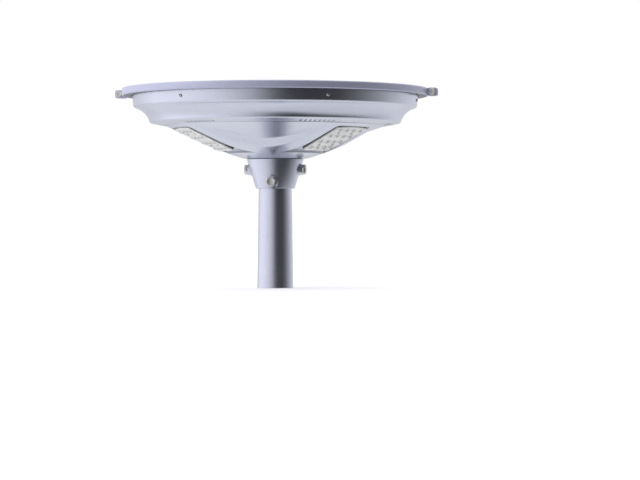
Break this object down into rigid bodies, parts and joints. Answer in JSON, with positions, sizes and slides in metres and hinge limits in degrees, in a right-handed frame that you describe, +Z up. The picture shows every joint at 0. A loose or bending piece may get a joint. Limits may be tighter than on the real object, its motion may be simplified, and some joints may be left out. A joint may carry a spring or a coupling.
{
  "type": "solar street lamp",
  "caption": "Round post-top solar street lamp with a bowl housing, LED modules under it, a clamp ring and a collar on a tapered pole section.",
  "frame": {"origin": "on the pole's axis, in the plane of the pole section's lower end", "axes": "+Z up along the pole, X through the two lugs of the clamp ring, +Y through the rear LED module"},
  "size_m": [0.596, 0.56, 0.3636],
  "materials": {
    "pole_paint": "satin silver paint",
    "cast_silver": "satin silver paint on a casting",
    "bowl_silver": "satin silver paint",
    "ring_silver": "satin silver paint, slightly darker",
    "steel": "stainless steel",
    "zinc": "zinc plated",
    "lens": "white optical plastic",
    "led": "phosphor",
    "board": "white solder mask",
    "rubber_black": "moulded",
    "gasket_grey": "grey silicone",
    "plate_zinc": "mill finish",
    "case_black": "moulded",
    "cell_wrap": "shrink sleeve",
    "pcb": "solder mask",
    "solar_wafer": "dark blue cells",
    "backsheet": "white sheet",
    "glass": "tempered, clear",
    "mesh": "fine woven mesh"
  },
  "bodies": {
    "pole": {"pole_section": "pole_paint"},
    "head": {"pole_collar": "cast_silver", "collar_gasket": "gasket_grey", "hub_screws": "steel", "housing_bowl": "bowl_silver", "vent_screens": "mesh", "plate_screws": "steel", "band_screws": "steel", "equipment_plate": "plate_zinc", "battery_case": "case_black", "battery_cells": "cell_wrap", "controller_case": "case_black", "controller_board": "pcb", "equipment_screws": "steel", "lid_seal": "rubber_black", "lid_tray": "plate_zinc", "solar_backsheet": "backsheet", "solar_cells": "solar_wafer", "solar_glass": "glass", "junction_box": "case_black", "button_bezel": "rubber_black", "button_switch": "case_black", "lens_plate_rear": "lens", "lens_gasket_rear": "rubber_black", "led_board_rear": "board", "led_chips_rear": "led", "lens_plate_left": "lens", "lens_gasket_left": "rubber_black", "led_board_left": "board", "led_chips_left": "led", "lens_plate_right": "lens", "lens_gasket_right": "rubber_black", "led_board_right": "board", "led_chips_right": "led"},
    "set_bolt_right": {"collar_bolt_right": "steel"},
    "set_bolt_left": {"collar_bolt_left": "steel"},
    "set_bolt_front": {"collar_bolt_front": "steel"},
    "set_bolt_rear": {"collar_bolt_rear": "steel"},
    "ring_front": {"clamp_ring_front": "ring_silver", "clamp_washers_front": "zinc"},
    "ring_rear": {"clamp_ring_rear": "ring_silver", "clamp_washers_rear": "zinc", "clamp_nuts": "zinc"},
    "clamp_screw_right": {"clamp_bolt_right": "zinc"},
    "clamp_screw_left": {"clamp_bolt_left": "zinc"},
    "button": {"power_button": "rubber_black"}
  },
  "joints": [
    {"name": "head_turn", "type": "hinge", "parent": "pole", "child": "head", "pos_m": [0, 0, 0.2], "axis": [0, 0, 1], "range_deg": [-180, 180]},
    {"name": "set_bolt_right_out", "type": "slide", "parent": "head", "child": "set_bolt_right", "axis": [1, 0, 0], "range_m": [0, 0.008]},
    {"name": "set_bolt_left_out", "type": "slide", "parent": "head", "child": "set_bolt_left", "axis": [-1, 0, 0], "range_m": [0, 0.008]},
    {"name": "set_bolt_front_out", "type": "slide", "parent": "head", "child": "set_bolt_front", "axis": [0, -1, 0], "range_m": [0, 0.008]},
    {"name": "set_bolt_rear_out", "type": "slide", "parent": "head", "child": "set_bolt_rear", "axis": [0, 1, 0], "range_m": [0, 0.008]},
    {"name": "ring_front_off", "type": "slide", "parent": "head", "child": "ring_front", "axis": [0, -1, 0], "range_m": [0, 0.06]},
    {"name": "ring_rear_off", "type": "slide", "parent": "head", "child": "ring_rear", "axis": [0, 1, 0], "range_m": [0, 0.06]},
    {"name": "clamp_screw_right_out", "type": "slide", "parent": "ring_front", "child": "clamp_screw_right", "axis": [0, -1, 0], "range_m": [0, 0.042]},
    {"name": "clamp_screw_left_out", "type": "slide", "parent": "ring_front", "child": "clamp_screw_left", "axis": [0, -1, 0], "range_m": [0, 0.042]},
    {"name": "button_press", "type": "slide", "parent": "head", "child": "button", "axis": [0.0917, -0.2723, 0.9578], "range_m": [0, 0.0015], "stiffness_N_per_m": 400}
  ]
}
